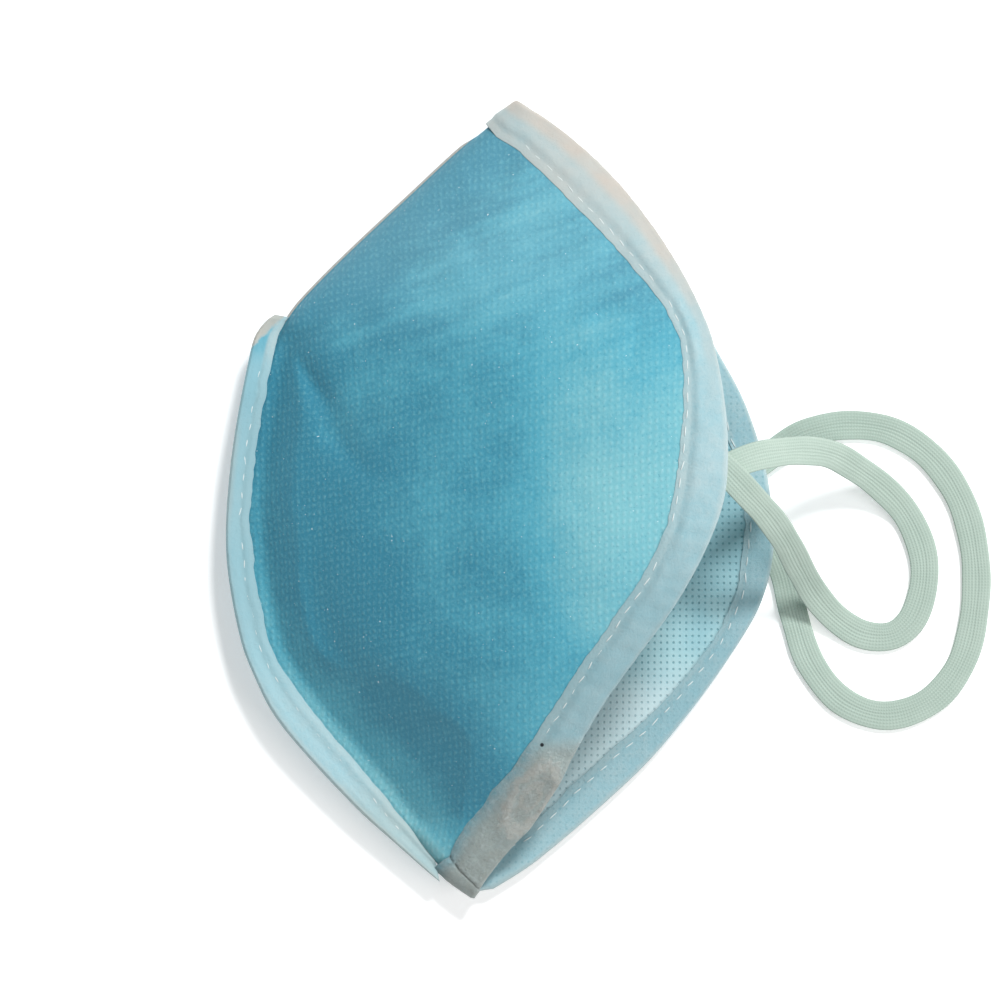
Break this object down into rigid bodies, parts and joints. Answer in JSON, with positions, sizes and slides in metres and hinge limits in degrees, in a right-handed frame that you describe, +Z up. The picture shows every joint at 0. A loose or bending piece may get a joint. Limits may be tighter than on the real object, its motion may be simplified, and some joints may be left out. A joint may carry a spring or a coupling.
{
  "type": "anti-pollution mask",
  "caption": "Cloth face mask lying half open on its side: two-ply curved cup with a front seam, bound edges and flat elastic ear loops.",
  "frame": {"origin": "on the surface that the mask lies on, under the middle of the mask's box without its ear loops", "axes": "+Y from the chin end to the nose end, +X from the front seam to the opening for the face, +Z up from the surface"},
  "size_m": [0.1451, 0.1518, 0.0443],
  "materials": {
    "blue_nonwoven": "matt, embossed with short dashes",
    "pale_nonwoven": "matt, dotted with bond points",
    "binding_tape": "matt, thin enough to show the cloth under it",
    "flat_elastic": "matt, ribbed lengthwise"
  },
  "bodies": {
    "root": {"outer_layer": "blue_nonwoven", "lining": "pale_nonwoven", "front_seam_binding": "binding_tape", "edge_binding": "binding_tape", "ear_loop_left": "flat_elastic", "ear_loop_right": "flat_elastic"}
  },
  "joints": []
}
